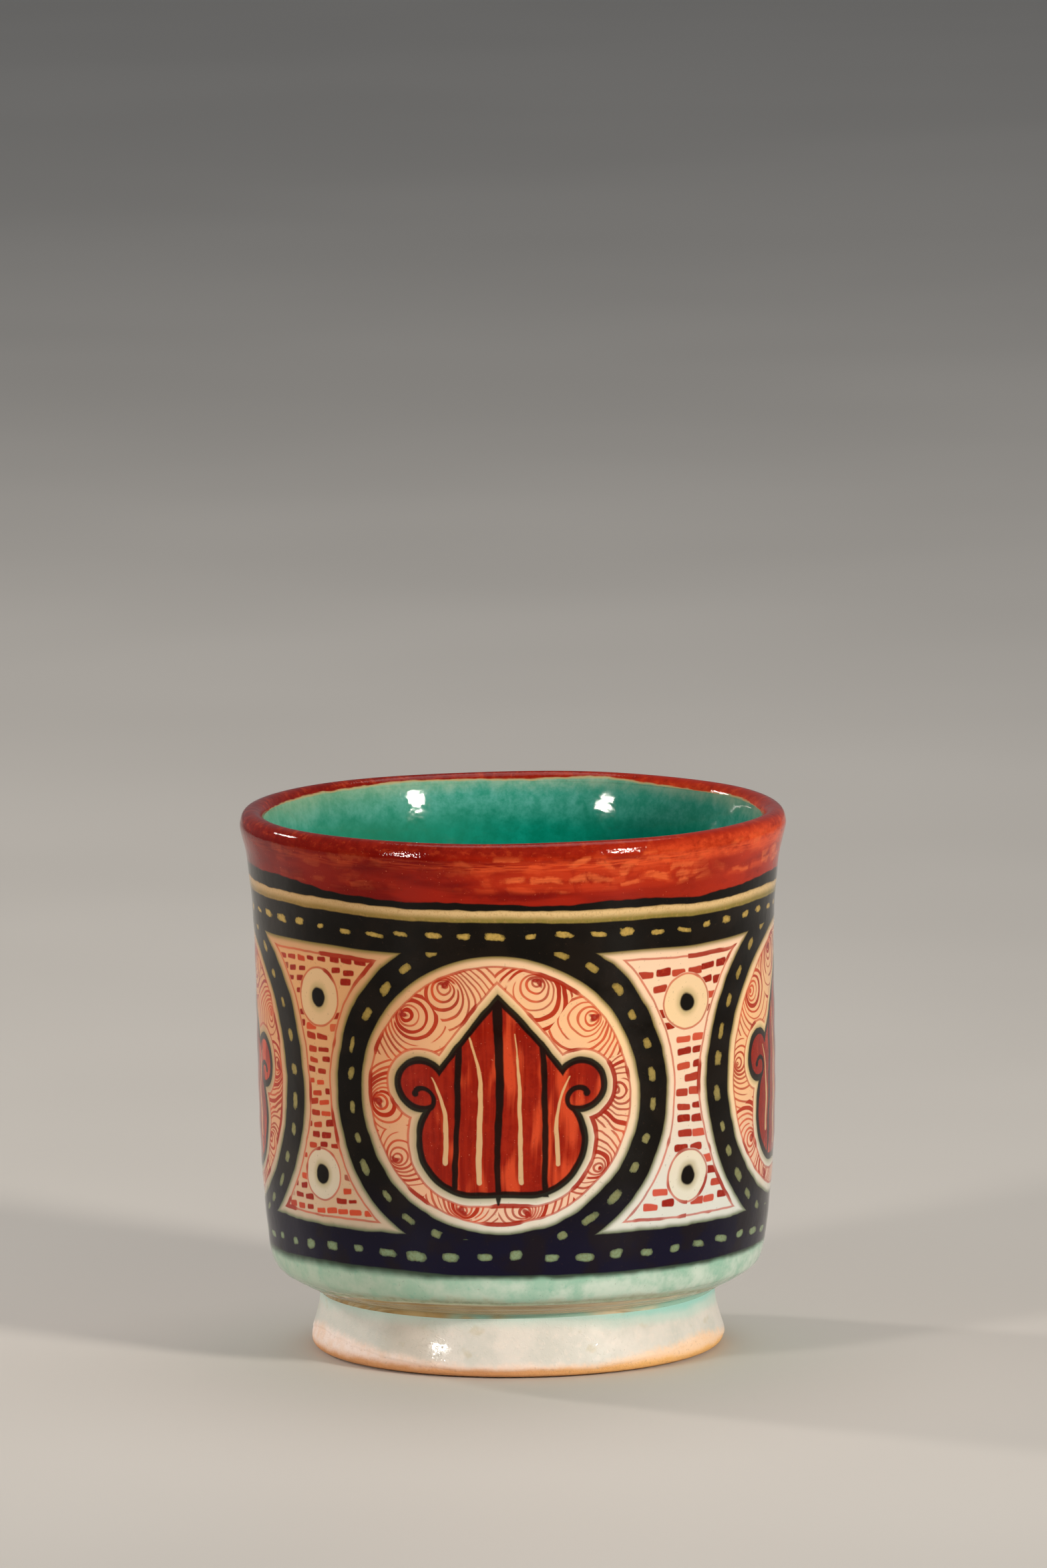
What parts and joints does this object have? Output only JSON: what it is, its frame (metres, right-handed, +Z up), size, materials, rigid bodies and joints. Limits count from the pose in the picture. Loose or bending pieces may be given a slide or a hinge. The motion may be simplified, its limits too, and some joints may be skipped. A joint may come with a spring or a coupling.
{
  "type": "handleless cup",
  "caption": "Glazed earthenware cup with a near-straight wall, flared rounded rim and a low flared foot ring luted to its underside; holds a drink, no handle.",
  "frame": {"origin": "centre of the foot ring on the standing plane", "axes": "+Z up along the turning axis; the painted roundel seen in front faces -Y"},
  "size_m": [0.095, 0.095, 0.0942],
  "materials": {
    "earthenware": "matte",
    "foot_earthenware": "matte",
    "slip": "matte",
    "lining_glaze": "gloss",
    "coat_glaze": "gloss",
    "foot_coat": "gloss"
  },
  "bodies": {
    "root": {"thrown_body": "earthenware", "foot_ring": "foot_earthenware", "luting_slip": "slip", "inner_glaze": "lining_glaze", "outer_glaze": "coat_glaze", "foot_glaze": "foot_coat"}
  },
  "joints": []
}
